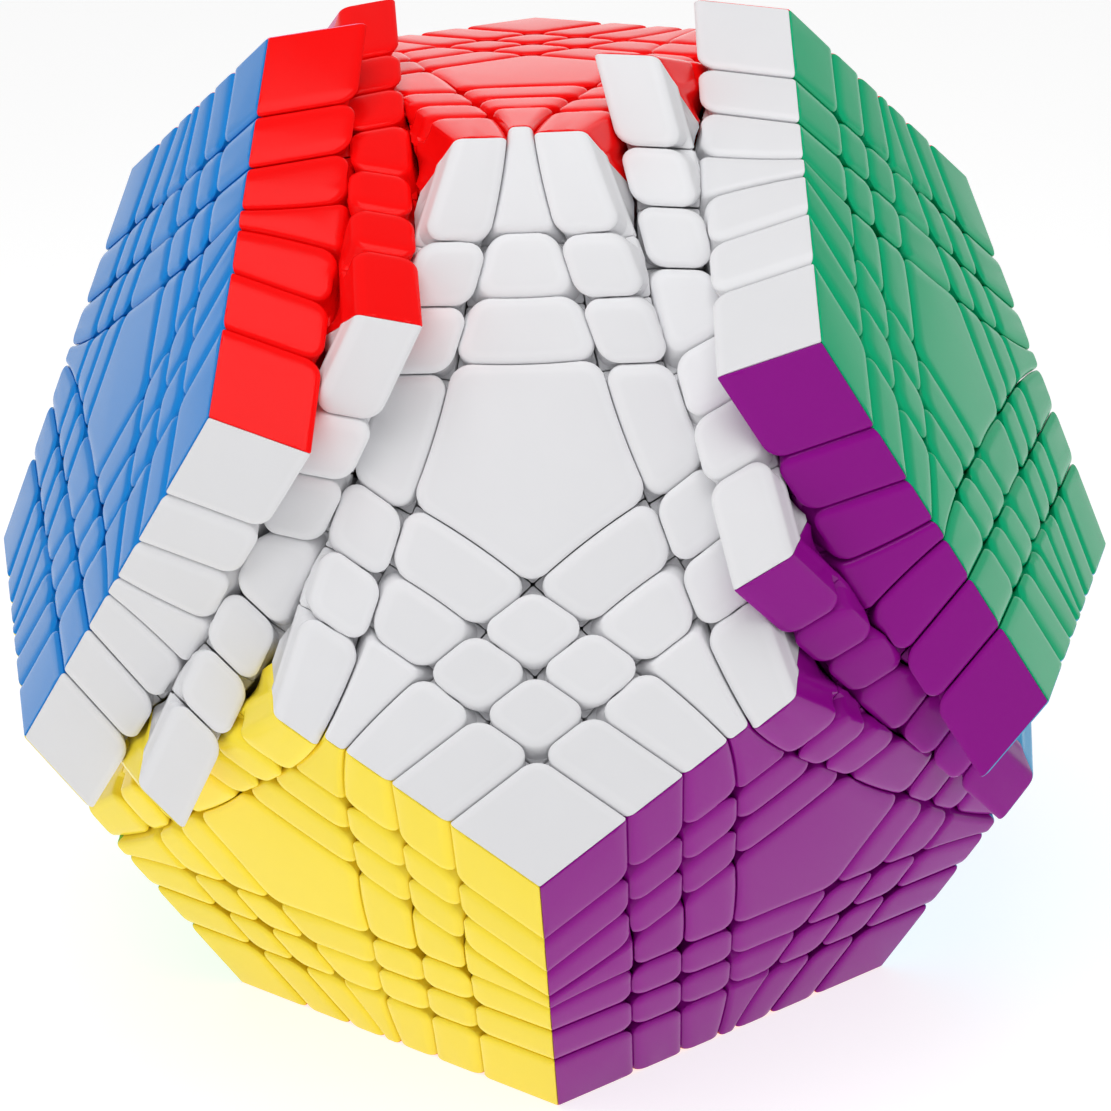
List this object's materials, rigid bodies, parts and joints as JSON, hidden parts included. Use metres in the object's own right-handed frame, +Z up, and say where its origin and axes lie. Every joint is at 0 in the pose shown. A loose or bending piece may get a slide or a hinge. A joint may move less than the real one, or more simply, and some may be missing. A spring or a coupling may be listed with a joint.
{
  "type": "dodecahedron twisty puzzle",
  "caption": "Stickerless twelve-sided twisty puzzle with seven layers a face, its left and right face layers caught in mid-turn",
  "frame": {"origin": "middle of the bottom (orange) face, on which the puzzle rests", "axes": "+Z up through the red top face; -Y is the front, where the white face looks forward and up"},
  "size_m": [0.1576, 0.1558, 0.1354],
  "materials": {
    "white_plastic": "smooth semi-gloss moulded plastic",
    "red_plastic": "smooth semi-gloss moulded plastic",
    "blue_plastic": "smooth semi-gloss moulded plastic",
    "green_plastic": "smooth semi-gloss moulded plastic",
    "purple_plastic": "smooth semi-gloss moulded plastic",
    "yellow_plastic": "smooth semi-gloss moulded plastic",
    "orange_plastic": "smooth semi-gloss moulded plastic",
    "grey_plastic": "smooth semi-gloss moulded plastic",
    "cream_plastic": "smooth semi-gloss moulded plastic",
    "pink_plastic": "smooth semi-gloss moulded plastic",
    "light_blue_plastic": "smooth semi-gloss moulded plastic",
    "light_green_plastic": "smooth semi-gloss moulded plastic",
    "foot_plastic": "smooth black moulded plastic",
    "core_plastic": "smooth dark moulded plastic",
    "zinc_steel": "bright zinc",
    "spring_steel": "drawn wire"
  },
  "bodies": {
    "main": {"centre_screws": "zinc_steel", "centre_springs": "spring_steel", "core": "core_plastic", "core_ball_lower_half": "core_plastic", "core_ball_upper_half": "core_plastic", "main_cream_pieces": "cream_plastic", "main_feet": "foot_plastic", "main_grey_pieces": "grey_plastic", "main_light_blue_pieces": "light_blue_plastic", "main_light_green_pieces": "light_green_plastic", "main_orange_pieces": "orange_plastic", "main_pink_pieces": "pink_plastic", "main_purple_pieces": "purple_plastic", "main_red_pieces": "red_plastic", "main_white_pieces": "white_plastic", "main_yellow_pieces": "yellow_plastic", "spring_washers": "zinc_steel"},
    "left_outer_layer": {"left_outer_layer_blue_pieces": "blue_plastic", "left_outer_layer_feet": "foot_plastic", "left_outer_layer_light_green_pieces": "light_green_plastic", "left_outer_layer_pink_pieces": "pink_plastic", "left_outer_layer_red_pieces": "red_plastic", "left_outer_layer_white_pieces": "white_plastic", "left_outer_layer_yellow_pieces": "yellow_plastic"},
    "left_second_layer": {"left_second_layer_feet": "foot_plastic", "left_second_layer_light_green_pieces": "light_green_plastic", "left_second_layer_pink_pieces": "pink_plastic", "left_second_layer_red_pieces": "red_plastic", "left_second_layer_white_pieces": "white_plastic", "left_second_layer_yellow_pieces": "yellow_plastic"},
    "left_third_layer": {"left_third_layer_feet": "foot_plastic", "left_third_layer_light_green_pieces": "light_green_plastic", "left_third_layer_pink_pieces": "pink_plastic", "left_third_layer_red_pieces": "red_plastic", "left_third_layer_white_pieces": "white_plastic", "left_third_layer_yellow_pieces": "yellow_plastic"},
    "right_outer_layer": {"right_outer_layer_cream_pieces": "cream_plastic", "right_outer_layer_feet": "foot_plastic", "right_outer_layer_green_pieces": "green_plastic", "right_outer_layer_light_blue_pieces": "light_blue_plastic", "right_outer_layer_purple_pieces": "purple_plastic", "right_outer_layer_red_pieces": "red_plastic", "right_outer_layer_white_pieces": "white_plastic"},
    "right_second_layer": {"right_second_layer_cream_pieces": "cream_plastic", "right_second_layer_feet": "foot_plastic", "right_second_layer_light_blue_pieces": "light_blue_plastic", "right_second_layer_purple_pieces": "purple_plastic", "right_second_layer_red_pieces": "red_plastic", "right_second_layer_white_pieces": "white_plastic"},
    "right_third_layer": {"right_third_layer_cream_pieces": "cream_plastic", "right_third_layer_feet": "foot_plastic", "right_third_layer_light_blue_pieces": "light_blue_plastic", "right_third_layer_purple_pieces": "purple_plastic", "right_third_layer_red_pieces": "red_plastic", "right_third_layer_white_pieces": "white_plastic"}
  },
  "joints": [
    {"name": "left_outer_layer_turn", "type": "hinge", "parent": "main", "child": "left_outer_layer", "pos_m": [0, 0, 0.063], "axis": [-0.8507, -0.2764, 0.4472], "continuous": true},
    {"name": "left_second_layer_turn", "type": "hinge", "parent": "main", "child": "left_second_layer", "pos_m": [0, 0, 0.063], "axis": [-0.8507, -0.2764, 0.4472], "continuous": true},
    {"name": "left_third_layer_turn", "type": "hinge", "parent": "main", "child": "left_third_layer", "pos_m": [0, 0, 0.063], "axis": [-0.8507, -0.2764, 0.4472], "continuous": true},
    {"name": "right_outer_layer_turn", "type": "hinge", "parent": "main", "child": "right_outer_layer", "pos_m": [0, 0, 0.063], "axis": [0.8507, -0.2764, 0.4472], "continuous": true},
    {"name": "right_second_layer_turn", "type": "hinge", "parent": "main", "child": "right_second_layer", "pos_m": [0, 0, 0.063], "axis": [0.8507, -0.2764, 0.4472], "continuous": true},
    {"name": "right_third_layer_turn", "type": "hinge", "parent": "main", "child": "right_third_layer", "pos_m": [0, 0, 0.063], "axis": [0.8507, -0.2764, 0.4472], "continuous": true}
  ]
}
